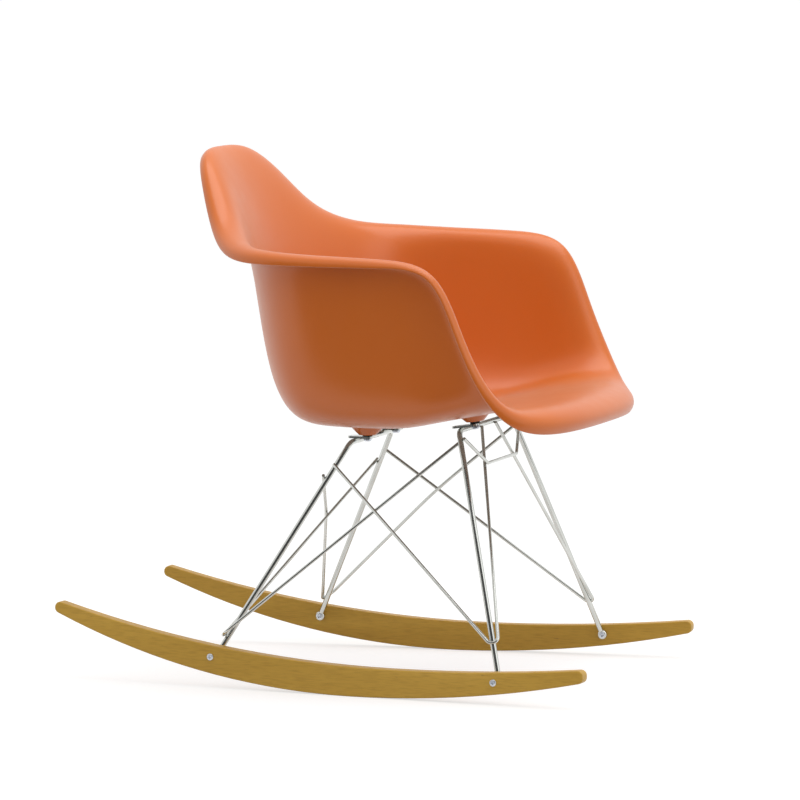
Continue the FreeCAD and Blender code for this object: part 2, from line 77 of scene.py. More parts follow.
# Dark cards beside the chair, in metres: name, distance, reach behind and before the chair,
# height and shade
DARK_WALLS = [
    ("dark_wall", 3.2, 7.5, 3.4, 3.2, 0.16),
    ("dark_strip", 3.0, 0.5, 0.5, 2.4, 0.01),
]
# Dark card on the floor: distance of an edge and its reach behind and before the chair
DARK_GROUND_NEAR = (0.5, 3.0, 1.6)
DARK_GROUND_FAR = (3.2, 6.0, 3.8)
DARK_GROUND_LIFT = 0.002
DARK_GROUND_SHADE = 0.16

# Tones of the finishes
ORANGE_DEEP = (0.640, 0.131, 0.0004, 1)
ORANGE_LIGHT = (0.662, 0.140, 0.0005, 1)
# Painted reflection: the warm grey that glossy rays see on the shell in place of its orange
SHELL_PAINTED_REFLECTION_GREY = (0.50, 0.40, 0.335, 1)
CHROME_DARK = (0.55, 0.56, 0.53, 1)
CHROME_LIGHT = (0.63, 0.64, 0.61, 1)
ZINC_DARK = (0.62, 0.67, 0.74, 1)
ZINC_LIGHT = (0.78, 0.82, 0.88, 1)
MAPLE_DARK = (0.52, 0.290, 0.028, 1)
MAPLE_GOLD = (0.58, 0.335, 0.037, 1)
MAPLE_LIGHT = (0.65, 0.385, 0.052, 1)
MAPLE_PORE = (0.84, 0.82, 0.78, 1)
MAPLE_FLECK = (0.20, 0.10, 0.02, 1)
WHITE = (1.0, 1.0, 1.0, 1)

# Shell, in millimetres: crest of the rim, corner between seat and wall, waist of the wall,
# reach of the corner's bend, flare of the rim and how far its edge is rolled over, station by
# station from front to back
SHELL_WALL = 6.0
HUB_Y = -45.0
HUB_Z = 376.0
HUB_RADIUS = 45.0
HUB_RUN_SHARE = 0.33
RIM_DEPTH = 28.0
RIM_DROP = 9.0
RIM_EDGE_ROUND = 2.5
SHELL_STATIONS = [
    ((0, -368, 386), (0, -190, 394), (0, -262, 407), 40, 24, 13.5),
    ((110, -364, 386), (92, -190, 394), (100, -258, 407), 40, 24, 14.5),
    ((200, -344, 387), (170, -182, 392), (186, -246, 405), 40, 24, 17),
    ((264, -310, 398), (220, -163, 386), (242, -221, 409), 38, 22, 17.5),
    ((298, -276, 442), (240, -139, 378), (265, -189, 424), 36, 20, 14.5),
    ((301, -241, 518), (246, -114, 373), (274, -167, 472), 38, 20, 13),
    ((304, -205, 621), (248, -90, 371), (280, -140, 540), 40, 20, 13),
    ((318, -120, 626), (246, -50, 369), (283, -85, 585), 42, 22, 13),
    ((320, -20, 626), (240, -5, 368), (280, -15, 590), 44, 24, 13),
    ((316, 66, 626), (226, 42, 368), (258, 46, 592), 44, 26, 13),
    ((264, 132, 628), (190, 74, 368), (209, 94, 596), 46, 30, 13),
    ((190, 174, 661), (138, 98, 368), (147, 123, 602), 50, 28, 13),
    ((148, 200, 719), (84, 116, 368), (88, 141, 606), 54, 22, 13),
    ((88, 228, 764), (36, 122, 368), (40, 150, 608), 54, 20, 13),
    ((0, 236, 763), (0, 124, 368), (0, 153, 608), 54, 20, 13),
]
ROWS_PER_SPAN = 20
COLUMNS_PER_SPAN = 12
EDGE_ROWS = 10
LAST_U = 1 - 1e-12

# Bosses under the shell
BOSS_BASE_RADIUS = 12.5
BOSS_TOP_RADIUS = 24.5
BOSS_CONE_HEIGHT = 12.0
BOSS_SIDE_SLOPE = 4.0
BOSS_BLEND = 3.5
BOSS_REACH = 33.0
BOSS_EDGE = 0.8
BOSS_BORE_RADIUS = 4.55
BOSS_BORE_DEPTH = 9.5
BOSS_SIDES = 72
BOSS_CONE_RINGS = 40
BOSS_UNDER_SKIN = 0.01
BOSS_EDGE_INTO_WALL = 0.5
BOSS_RAY_START = 30.0
FRONT_MOUNT = (110.0, -191.726, 379.295)
FRONT_MOUNT_TILT = 8.0
REAR_MOUNT = (63.0, -14.3, 349.6)

# Rods, wires and what they lie against
ROD_DIAMETER = 8.0
ROD_BEND_RADIUS = 15.0
FRONT_BAR = (121.8, -171.4, 366.0)
REAR_BAR = (91.6, 1.7, 341.0)
FRONT_BOLT = (-272.3, 31.8)
REAR_BOLT = (158.6, 44.5)
RUNNER_TOE = math.radians(3.9)
RUNNER_HALF_SPREAD = 252.0
RUNNER_THICKNESS = 19.0
LUG_GAP = 0.1
LUG_LENGTH = 6.8
LUG_RADIUS = 6.5
WIRE_DIAMETER = 4.8
WIRE_BEND_RADIUS = 7.0
WIRE_CROSS_RADIUS = 300.0
WELD_GAP = 0.15
FRONT_WIRE_TAIL = 1.0
REAR_WIRE_TAIL = 6.0
FRONT_WIRE_START_X = 30.1
FRONT_WIRE_AHEAD = 4.1
FRONT_WIRE_END_Z = 307.6
FRONT_LOOP_Z = 67.5
FRONT_LOOP_OUT = 6.3
FRONT_LOOP_AHEAD = 8.6
FRONT_LOOP_RADIUS = 8.3
REAR_WIRE_START_Z = 289.3
REAR_WIRE_END_Z = 351.4
REAR_LOOP_Z = 69.9
REAR_LOOP_WIDTH = 23.4
REAR_LOOP_DROP = 1.5
REAR_LOOP_RADIUS = 14.0
MIDDLE_CROSS_Y = 69.2
MIDDLE_CROSS_Z = 226.3
SIDE_CROSS_Z = 251.4
TRUSS_Z = 314.2
TRUSS_END_Z = 353.0
TRUSS_TAIL = 2.5
FRONT_WIRE_INTO_WELD = 4.5
REAR_WIRE_INTO_WELD = 2.5
END_ROUND = 0.7
ROUND_STEPS = 5
BAR_SIDES = 32
BEND_STEP = math.radians(5)
LEAN_ROUNDS = 8
CROSS_ROUNDS = 6
# Rise of a bar's first run from which its rings start from the x axis
STEEP = 0.9

# Radius and height over the lug of the screw end's rings, from its wall into its socket
LUG_END_PROFILE = [
    (4.5, -0.2), (4.5, 1.3), (4.1, 1.7), (2.9, 1.7), (2.6, 1.5), (2.5, 0.3), (0.01, 0.2),
]

X_AXIS = np.array([1.0, 0.0, 0.0])
Y_AXIS = np.array([0.0, 1.0, 0.0])
Z_AXIS = np.array([0.0, 0.0, 1.0])
FLIP = np.array([-1.0, 1.0, 1.0])


# Helpers


def unit(vectors):
    """Vectors divided by their lengths."""
    vectors = np.asarray(vectors, float)
    return vectors / np.linalg.norm(vectors, axis=-1, keepdims=True)


def ring_of_spokes(sides, first, second):
    """Unit vectors cos(a) first + sin(a) second, with a in equal steps of a full turn."""
    angles = np.linspace(0, 2 * math.pi, sides, endpoint=False)[:, None]
    return np.cos(angles) * first + np.sin(angles) * second


def add_piece(name, points, faces, material, replaced=()):
    """A smooth mesh piece in metres that rides on the chair's one body."""
    mesh = bpy.data.meshes.new(name)
    mesh.from_pydata(np.asarray(points, float).tolist(), [], faces)
    mesh.validate()
    mesh.polygons.foreach_set("use_smooth", np.ones(len(mesh.polygons), bool))
    mesh.materials.append(material)
    piece = bpy.data.objects.new(name, mesh)
    bpy.context.scene.collection.objects.link(piece)
    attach(piece, "root")
    if replaced:
        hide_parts(*replaced)
    return piece


def grid_faces(rows, columns, offset=0):
    """Quads of a grid that closes along its columns, facing to column step cross row step."""
    row, column = np.meshgrid(np.arange(rows - 1), np.arange(columns), indexing="ij")
    following = (column + 1) % columns
    corners = [row * columns + column, row * columns + following,
               (row + 1) * columns + following, (row + 1) * columns + column]
    return (np.stack(corners, -1).reshape(-1, 4) + offset).tolist()


def end_cap(rows, columns, offset=0):
    """One face over the last row of a grid."""
    return list(range(offset + (rows - 1) * columns, offset + rows * columns))


# Materials


def set_inputs(node, **values):
    """Fixed values of a node's sockets, by their labels."""
    for label, value in values.items():
        node.inputs[label.replace("_", " ")].default_value = value


def new_material(name):
    """A material with its nodes and links."""
    material = bpy.data.materials.new(name)
    material.use_nodes = True
    return material, material.node_tree.nodes, material.node_tree.links


def start_material(name):
    """A new material with its main shader and a source of coordinates."""
    material, nodes, links = new_material(name)
    return material, nodes, links, nodes["Principled BSDF"], nodes.new("ShaderNodeTexCoord")


def add_noise(nodes, links, place, scale, detail=2.0, stretch=None):
    """Noise over the object's own coordinates, stretched along an axis where that is asked for."""
    noise = nodes.new("ShaderNodeTexNoise")
    set_inputs(noise, Scale=scale, Detail=detail)
    if stretch is None:
        links.new(place.outputs["Object"], noise.inputs["Vector"])
    else:
        mapping = nodes.new("ShaderNodeMapping")
        set_inputs(mapping, Scale=stretch)
        links.new(place.outputs["Object"], mapping.inputs["Vector"])
        links.new(mapping.outputs["Vector"], noise.inputs["Vector"])
    return noise.outputs["Fac"]


def add_ramp(nodes, links, source, target, stops):
    """Colours or greys between stops of a value, linked to a socket."""
    ramp = nodes.new("ShaderNodeValToRGB")
    elements = ramp.color_ramp.elements
    while len(elements) < len(stops):
        elements.new(0.5)
    for element, (position, tone) in zip(elements, stops):
        element.position = position
        element.color = tone if isinstance(tone, tuple) else (tone, tone, tone, 1)
    links.new(source, ramp.inputs["Fac"])
    links.new(ramp.outputs["Color"], target)


def add_bump(nodes, links, height, shader, strength, distance):
    """Relief of a height in the shader's normals."""
    bump = nodes.new("ShaderNodeBump")
    set_inputs(bump, Strength=strength, Distance=distance)
    links.new(height, bump.inputs["Height"])
    links.new(bump.outputs["Normal"], shader.inputs["Normal"])


def add_mix(nodes, blend="MIX"):
    """A mixing node's factor, its two colour sockets and its result."""
    mix = nodes.new("ShaderNodeMix")
    mix.data_type = "RGBA"
    mix.blend_type = blend
    first, second = [socket for socket in mix.inputs if socket.type == "RGBA"]
    result = [socket for socket in mix.outputs if socket.type == "RGBA"][0]
    return mix.inputs["Factor"], first, second, result


def plastic_material():
    """Satin polypropylene: an even colour, a fine moulded texture and faint drifts of gloss.

    Glossy rays see a painted reflection colour, a warm grey in place of the orange, so polished metal
    reflects the shell in grey.
    """
    material, nodes, links, shader, place = start_material("satin_orange_plastic")
    set_inputs(shader, Specular_IOR_Level=0.65)
    factor, own_tone, painted_reflection_tone, result = add_mix(nodes)
    drift = add_noise(nodes, links, place, scale=7.0)
    add_ramp(nodes, links, drift, own_tone, [(0.3, ORANGE_DEEP), (0.7, ORANGE_LIGHT)])
    # Painted reflection: glossy rays see the warm grey instead of the shell's orange
    painted_reflection_tone.default_value = SHELL_PAINTED_REFLECTION_GREY
    links.new(nodes.new("ShaderNodeLightPath").outputs["Is Glossy Ray"], factor)
    links.new(result, shader.inputs["Base Color"])
    patches = add_noise(nodes, links, place, scale=40.0, detail=4.0)
    add_ramp(nodes, links, patches, shader.inputs["Roughness"], [(0.3, 0.31), (0.7, 0.35)])
    texture = add_noise(nodes, links, place, scale=1400.0)
    add_bump(nodes, links, texture, shader, strength=0.03, distance=0.0002)
    return material


def chrome_material():
    """Polished chrome over drawn rod, with faint marks of the drawing."""
    material, nodes, links, shader, place = start_material("polished_chrome")
    set_inputs(shader, Metallic=1.0)
    tone = add_noise(nodes, links, place, scale=30.0)
    add_ramp(nodes, links, tone, shader.inputs["Base Color"], [(0.3, CHROME_DARK), (0.7, CHROME_LIGHT)])
    wear = add_noise(nodes, links, place, scale=150.0, detail=3.0)
    add_ramp(nodes, links, wear, shader.inputs["Roughness"], [(0.3, 0.12), (0.7, 0.19)])
    marks = add_noise(nodes, links, place, scale=1.0, stretch=(1500.0, 1500.0, 60.0))
    add_bump(nodes, links, marks, shader, strength=0.05, distance=0.0001)
    return material


def steel_material():
    """Zinc plated steel, bluish, with the mottle of the plating."""
    material, nodes, links, shader, place = start_material("zinc_plated_steel")
    set_inputs(shader, Metallic=1.0)
    mottle = add_noise(nodes, links, place, scale=350.0, detail=3.0)
    add_ramp(nodes, links, mottle, shader.inputs["Base Color"], [(0.3, ZINC_DARK), (0.7, ZINC_LIGHT)])
    add_ramp(nodes, links, mottle, shader.inputs["Roughness"], [(0.3, 0.32), (0.7, 0.45)])
    texture = add_noise(nodes, links, place, scale=1500.0)
    add_bump(nodes, links, texture, shader, strength=0.12, distance=0.0001)
    return material


def rubber_material():
    """Black rubber, slightly dusty."""
    material, nodes, links, shader, place = start_material("black_rubber")
    dust = add_noise(nodes, links, place, scale=300.0, detail=4.0)
    add_ramp(nodes, links, dust, shader.inputs["Base Color"], [(0.4, 0.012), (0.8, 0.03)])
    add_ramp(nodes, links, dust, shader.inputs["Roughness"], [(0.3, 0.5), (0.7, 0.7)])
    texture = add_noise(nodes, links, place, scale=1200.0)
    add_bump(nodes, links, texture, shader, strength=0.2, distance=0.0002)
    return material


def maple_material():
    """Lacquered golden maple: long soft bands of growth, fine pores along the grain, dark flecks."""
    material, nodes, links, shader, place = start_material("golden_maple")
    bands = add_noise(nodes, links, place, scale=1.0, detail=5.0, stretch=(28.0, 1.4, 28.0))
    pores = add_noise(nodes, links, place, scale=1.0, detail=3.0, stretch=(650.0, 26.0, 650.0))
    flecks = add_noise(nodes, links, place, scale=1.0, stretch=(160.0, 45.0, 160.0))
    tint_factor, band_tone, pore_tone, tinted = add_mix(nodes, "MULTIPLY")
    tint_factor.default_value = 1.0
    add_ramp(nodes, links, bands, band_tone, [(0.30, MAPLE_DARK), (0.50, MAPLE_GOLD), (0.70, MAPLE_LIGHT)])
    add_ramp(nodes, links, pores, pore_tone, [(0.30, MAPLE_PORE), (0.55, WHITE)])
    clear_share, fleck_tone, wood_tone, flecked = add_mix(nodes)
    fleck_tone.default_value = MAPLE_FLECK
    links.new(tinted, wood_tone)
    add_ramp(nodes, links, flecks, clear_share, [(0.20, 0.45), (0.27, 1.0)])
    links.new(flecked, shader.inputs["Base Color"])
    add_ramp(nodes, links, pores, shader.inputs["Roughness"], [(0.3, 0.52), (0.7, 0.40)])
    add_bump(nodes, links, pores, shader, strength=0.12, distance=0.0003)
    return material


PLASTIC = plastic_material()
CHROME = chrome_material()
STEEL = steel_material()
RUBBER = rubber_material()
MAPLE = maple_material()


# Shell


def shell_nets():
    """Control points of the upper skin and of the skin one wall below it.

    Each station gives eight: two at the hub, two about the corner, the waist, one below the
    crest by the rim's depth and inside it by its flare, the crest, and the rolled edge beyond
    and below the crest. The lower net is the upper one moved by the wall along the cross
    product of its two directions, or straight down at the hub.
    """
    rows = SHELL_STATIONS + SHELL_STATIONS[-2:0:-1]
    flip = np.ones((len(rows), 3))
    flip[len(SHELL_STATIONS):, 0] = -1
    crest, corner, waist = [np.array([row[k] for row in rows], float) * flip for k in range(3)]
    reach, flare, hang = [np.array([row[k] for row in rows], float)[:, None] for k in (3, 4, 5)]
    along = unit(np.roll(crest, -1, 0) - np.roll(crest, 1, 0))
    rise = crest - waist
    rise = unit(rise - along * (rise * along).sum(1, keepdims=True))
    out = unit(np.cross(along, rise))
    angle = np.arctan2(corner[:, 0], HUB_Y - corner[:, 1])
    hub = np.stack([HUB_RADIUS * np.sin(angle), HUB_Y - HUB_RADIUS * np.cos(angle),
                    np.full(len(rows), HUB_Z)], 1)
    run = corner - hub
    upper = np.array([
        hub,
        hub + run * [HUB_RUN_SHARE, HUB_RUN_SHARE, 0],
        corner - unit(run) * reach,
        corner + unit(waist - corner) * reach,
        waist,
        crest - out * flare - rise * RIM_DEPTH,
        crest,
        crest + out * hang - rise * RIM_DROP,
    ])
    across = np.concatenate([upper[2:], upper[-1:]]) - upper[:-1]
    across = np.concatenate([across[:1], across])
    around = np.roll(upper, -1, 1) - np.roll(upper, 1, 1)
    normal = unit(np.cross(around, across))
    normal[:2] = -Z_AXIS
    return upper, upper + normal * SHELL_WALL


def clamped_basis(count, u):
    """Cubic basis on uniform knots with both ends clamped, one row for each u from 0 to 1.

    A function of degree d is the i-th one of the degree before times s(i), plus the next one
    times 1 - s(i + 1), with s(i) the share of the d spans after knot i that u has passed.
    """
    knots = np.concatenate([[0.0] * 3, np.linspace(0, 1, count - 2), [1.0] * 3])
    # A knot span holds its start but not its end, so u = 1 is taken just before the end
    u = np.minimum(u, LAST_U)[:, None]
    basis = ((knots[:-1] <= u) & (u < knots[1:])).astype(float)
    for degree in (1, 2, 3):
        width = knots[degree:] - knots[:-degree]
        share = np.where(width > 0, (u - knots[:-degree]) / np.where(width > 0, width, 1), 0)
        rest = np.where(width > 0, 1 - share, 0)
        basis = share[:, :-1] * basis[:, :-1] + rest[:, 1:] * basis[:, 1:]
    return basis


def periodic_basis(count, t):
    """Cubic basis on uniform knots around a closed loop, one row for each t from 0 to 1.

    A distance of a knots gives 2/3 - a^2 + a^3 / 2 up to one knot and (2 - a)^3 / 6 up to two.
    """
    away = np.abs((t[:, None] * count - np.arange(count) + count / 2) % count - count / 2)
    near = 2 / 3 - away ** 2 + away ** 3 / 2
    far = (2 - away) ** 3 / 6
    return np.where(away < 1, near, np.where(away < 2, far, 0.0))


def shell_surface():
    """Rows of points from the hub over the upper skin and the rim's edge to the lower hub.

    The edge between the skins is a clamped cubic curve that leaves each of them straight on.
    """
    upper, lower = shell_nets()
    stations = upper.shape[1]
    rows = clamped_basis(len(upper), np.linspace(0, 1, ROWS_PER_SPAN * (len(upper) - 3) + 1))
    columns = periodic_basis(stations, np.linspace(0, 1, COLUMNS_PER_SPAN * stations, endpoint=False))
    top, bottom = [np.einsum("ri,ijk,cj->rck", rows, net, columns) for net in (upper, lower)]
    edge_net = np.array([upper[-1], upper[-1] + unit(upper[-1] - upper[-2]) * RIM_EDGE_ROUND,
                         lower[-1] + unit(lower[-1] - lower[-2]) * RIM_EDGE_ROUND, lower[-1]])
    edge_rows = clamped_basis(4, np.linspace(0, 1, EDGE_ROWS + 1))[1:-1]
    edge = np.einsum("ri,ijk,cj->rck", edge_rows, edge_net, columns)
    return np.concatenate([top, edge, bottom[::-1]])


def add_shell():
    """The shell's skin as one closed grid, with a fan of triangles over each end at the hub.

    The columns are taken in reverse, so that the faces point outwards.
    """
    surface = shell_surface()[:, ::-1]
    rows, columns = surface.shape[:2]
    centre_top = np.array([[0, HUB_Y, HUB_Z]])
    centre_bottom = centre_top - [0, 0, SHELL_WALL]
    points = np.concatenate([surface.reshape(-1, 3), centre_top, centre_bottom])
    column = np.arange(columns)
    following = (column + 1) % columns
    top_centre = np.full(columns, rows * columns)
    last = (rows - 1) * columns
    top_fan = np.stack([following, column, top_centre], 1)
    bottom_fan = np.stack([last + column, last + following, top_centre + 1], 1)
    faces = grid_faces(rows, columns) + top_fan.tolist() + bottom_fan.tolist()
    return add_piece("shell_skin", points * MM, faces, PLASTIC, ["seat_shell"])


# Bosses


def mount_frames():
    """Centre of each boss's lower face and the direction from it into the shell."""
    tilt = math.radians(FRONT_MOUNT_TILT)
    up = np.array([0, math.sin(tilt), math.cos(tilt)])
    frames = []
    for mirror in (1, FLIP):
        frames.append((np.array(FRONT_MOUNT) * mirror, up))
        frames.append((np.array(REAR_MOUNT) * mirror, Z_AXIS))
    return frames


def skin_heights(tree, base, up, ring):
    """Heights over the boss's lower face at which rays from under a ring meet the shell."""
    starts = (base + ring - up * BOSS_RAY_START) * MM
    hits = np.array([tree.ray_cast(Vector(start), Vector(up))[0] for start in starts])
    return (hits / MM - base) @ up


def boss_grid(tree, base, up):
    """Rings of a boss from its bore over its flat end and its cone to the shell's lower skin.

    A ring is base + r (cos(a) x + sin(a) y) + z up. The flat end turns into the cone over a
    quarter circle, and z from there on is the profile at the top of this script.
    """
    spokes = ring_of_spokes(BOSS_SIDES, X_AXIS, np.cross(up, X_AXIS))
    quarter = np.linspace(0, math.pi / 2, ROUND_STEPS)
    edge_radius = BOSS_BASE_RADIUS - BOSS_EDGE + BOSS_EDGE * np.sin(quarter)
    edge_height = BOSS_EDGE * (1 - np.cos(quarter))
    rings = [base + spokes * BOSS_BORE_RADIUS + up * BOSS_BORE_DEPTH, base + spokes * BOSS_BORE_RADIUS]
    rings += [base + spokes * radius + up * height for radius, height in zip(edge_radius, edge_height)]
    slope = BOSS_CONE_HEIGHT / (BOSS_TOP_RADIUS - BOSS_BASE_RADIUS)
    for radius in np.linspace(BOSS_BASE_RADIUS + BOSS_EDGE / 2, BOSS_REACH, BOSS_CONE_RINGS):
        cone = slope * (min(radius, BOSS_TOP_RADIUS) - BOSS_BASE_RADIUS)
        cone += BOSS_SIDE_SLOPE * max(radius - BOSS_TOP_RADIUS, 0)
        skin = skin_heights(tree, base, up, spokes * radius)
        nearness = np.maximum(0, 1 - np.abs(skin - cone) / BOSS_BLEND)
        height = np.minimum(skin, cone) - nearness ** 2 * BOSS_BLEND / 4
        height = np.minimum(height, skin - BOSS_UNDER_SKIN)
        rings.append(base + spokes * radius + up * height[:, None])
    rings.append(rings[-1] + up * BOSS_EDGE_INTO_WALL)
    return np.array(rings)


def add_bosses(shell):
    """The four bosses as one piece."""
    vertices = [vertex.co for vertex in shell.data.vertices]
    tree = BVHTree.FromPolygons(vertices, [list(face.vertices) for face in shell.data.polygons])
    grids = np.array([boss_grid(tree, base, up) for base, up in mount_frames()])
    rows, columns = grids.shape[1:3]
    faces = []
    for number in range(len(grids)):
        faces += grid_faces(rows, columns, number * rows * columns)
    add_piece("shell_bosses", grids.reshape(-1, 3) * MM, faces, PLASTIC)


# Lines of the rods and wires


def on_line_at_height(line, height):
    """Point of a straight line at a height over the floor."""
    share = (height - line[0][2]) / (line[1][2] - line[0][2])
    return line[0] + (line[1] - line[0]) * share


def leg(bar, bolt):
    """Axis of a left leg from the corner of its rod to the middle of its lug."""
    face = RUNNER_HALF_SPREAD - bolt[0] * math.tan(RUNNER_TOE) - RUNNER_THICKNESS / math.cos(RUNNER_TOE)
    return np.array(bar), np.array([face - LUG_GAP - LUG_LENGTH / 2, *bolt])


FRONT_LEG = leg(FRONT_BAR, FRONT_BOLT)
REAR_LEG = leg(REAR_BAR, REAR_BOLT)
WELD_DISTANCE = (ROD_DIAMETER + WIRE_DIAMETER) / 2 + WELD_GAP


def side_normal(bar, run, towards):
    """Direction square to a bar and to a run, on the side that is asked for."""
    normal = unit(np.cross(bar[1] - bar[0], run))
    return normal if normal @ towards >= 0 else -normal


def beside(bar, anchor, through, towards):
    """Centre of a wire that lies against a bar at the anchor, on its way to another point."""
    point = anchor
    for _ in range(LEAN_ROUNDS):
        point = anchor + side_normal(bar, through - point, towards) * WELD_DISTANCE
    return point


def loop_bends(bar, anchor, start, base_run, towards):
    """Two corners of a loop whose first run and base both lie against one side of a leg."""
    base_normal = side_normal(bar, base_run, towards)
    corner = anchor + base_normal * WELD_DISTANCE
    for _ in range(LEAN_ROUNDS):
        run_normal = side_normal(bar, corner - start, towards)
        share = WELD_DISTANCE / (1 + run_normal @ base_normal)
        corner = anchor + (run_normal + base_normal) * share
    return corner, corner + base_run


def butt_end(bar, anchor, origin):
    """End of a wire that comes from the origin and stops short of a bar, aimed at the anchor."""
    run = unit(anchor - origin)
    cosine = abs(run @ unit(bar[1] - bar[0]))
    sine = math.sqrt(1 - cosine ** 2)
    return anchor - run * (ROD_DIAMETER / 2 / sine + WIRE_DIAMETER / 2 * cosine / sine + WELD_GAP)


def pressed_corner(before, after, point):
    """Corner of a gentle bend between two points whose arc passes through a third one."""
    corner = point
    for _ in range(LEAN_ROUNDS):
        back = unit(before - corner)
        onward = unit(after - corner)
        half_angle = math.acos(back @ onward) / 2
        depth = WIRE_CROSS_RADIUS / math.sin(half_angle) - WIRE_CROSS_RADIUS
        corner = point - unit(back + onward) * depth
    return corner


def past(point, origin, length):
    """Point that lies a length beyond another, as seen from the origin."""
    return point + unit(point - origin) * length


def front_wire_points():
    """Start under the crossbar, turn outside the front foot, end outside the rear leg."""
    start = np.array([FRONT_WIRE_START_X, FRONT_BAR[1] - FRONT_WIRE_AHEAD, FRONT_BAR[2]])
    turn = on_line_at_height(FRONT_LEG, FRONT_LOOP_Z) + [FRONT_LOOP_OUT, -FRONT_LOOP_AHEAD, 0]
    end = beside(REAR_LEG, on_line_at_height(REAR_LEG, FRONT_WIRE_END_Z), turn, X_AXIS)
    return start, turn, end


def rear_wire_points(front_turn, front_end):
    """Start at the opposite rear leg, middle crossing, loop at the foot, side crossing, end."""
    opposite = (REAR_LEG[0] * FLIP, REAR_LEG[1] * FLIP)
    middle = np.array([0.0, MIDDLE_CROSS_Y, MIDDLE_CROSS_Z])
    start = beside(opposite, on_line_at_height(opposite, REAR_WIRE_START_Z), middle, Y_AXIS)
    base_run = np.array([REAR_LOOP_WIDTH, 0, -REAR_LOOP_DROP])
    anchor = on_line_at_height(REAR_LEG, REAR_LOOP_Z)
    inner, outer = loop_bends(REAR_LEG, anchor, middle, base_run, Y_AXIS)
    end = on_line_at_height(FRONT_LEG, REAR_WIRE_END_Z)
    contact = on_line_at_height((front_turn, front_end), SIDE_CROSS_Z)
    cross = contact
    for _ in range(CROSS_ROUNDS):
        tangent = unit(cross - outer) + unit(end - cross)
        inward = side_normal((front_turn, front_end), tangent, -X_AXIS)
        cross = pressed_corner(outer, end, contact + inward * (WIRE_DIAMETER + WELD_GAP))
    return start, middle, inner, outer, cross, end


# Rods and wires


def bent_path(points, radii):
    """Points along straight runs that tangent arcs join, one radius for each bend.

    An arc's centre lies b / sin(a) from its corner, and its points are the centre plus
    b (cos(q) first - sin(q) back), with first the direction to the arc's start.
    """
    path = [points[0]]
    for before, corner, after, radius in zip(points, points[1:], points[2:], radii):
        back = unit(before - corner)
        onward = unit(after - corner)
        half_angle = math.acos(np.clip(back @ onward, -1, 1)) / 2
        centre = corner + unit(back + onward) * (radius / math.sin(half_angle))
        first = (corner + back * (radius / math.tan(half_angle)) - centre) / radius
        sweep = math.pi - 2 * half_angle
        steps = max(2, math.ceil(sweep / BEND_STEP))
        angles = np.linspace(0, sweep, steps + 1)[:, None]
        path.extend(centre + (first * np.cos(angles) - back * np.sin(angles)) * radius)
    path.append(points[-1])
    return np.array(path)


def bar_grid(points, radii, diameter):
    """Rings of a bent bar with rounded ends, one ring for each point of its path.

    A ring is point + R (cos(a) side + sin(a) other), and the side is carried along the path
    without a twist. The ends narrow by the quarter circle at the top of this script.
    """
    path = bent_path(points, radii)
    quarter = np.linspace(0, math.pi / 2, ROUND_STEPS)
    inset = END_ROUND * (1 - np.cos(quarter))[:, None]
    narrow = diameter / 2 - END_ROUND * (1 - np.sin(quarter))
    first = unit(path[1] - path[0])
    last = unit(path[-1] - path[-2])
    width = np.concatenate([narrow, np.full(len(path) - 2, diameter / 2), narrow[::-1]])
    path = np.concatenate([path[:1] + first * inset, path[1:-1], path[-1:] - last * inset[::-1]])
    tangents = unit(np.gradient(path, axis=0))
    tangents[:ROUND_STEPS] = first
    tangents[-ROUND_STEPS:] = last
    side = unit(np.cross(first, Z_AXIS if abs(first[2]) < STEEP else X_AXIS))
    rings = []
    for point, tangent, radius in zip(path, tangents, width):
        side = unit(side - tangent * (side @ tangent))
        rings.append(point + ring_of_spokes(BAR_SIDES, side, np.cross(tangent, side)) * radius)
    return np.array(rings)


def add_bar(name, points, radii, diameter, replaced):
    """A chromed bar with flat faces over its two ends, in place of a CAD node."""
    grid = bar_grid(points, radii, diameter)
    rows, columns = grid.shape[:2]
    faces = grid_faces(rows, columns) + [end_cap(1, columns)[::-1], end_cap(rows, columns)]
    piece = add_piece(name, grid.reshape(-1, 3) * MM, faces, CHROME, [replaced])
    smooth = np.ones(len(faces), bool)
    smooth[-2:] = False
    piece.data.polygons.foreach_set("use_smooth", smooth)


def add_leg_rod(name, line, replaced):
    """A rod bent to a U, whose middle is the crossbar and whose arms are a pair of legs."""
    corner, foot = line
    end = foot + unit(corner - foot) * LUG_RADIUS
    add_bar(name, [end * FLIP, corner * FLIP, corner, end], [ROD_BEND_RADIUS] * 2, ROD_DIAMETER, replaced)


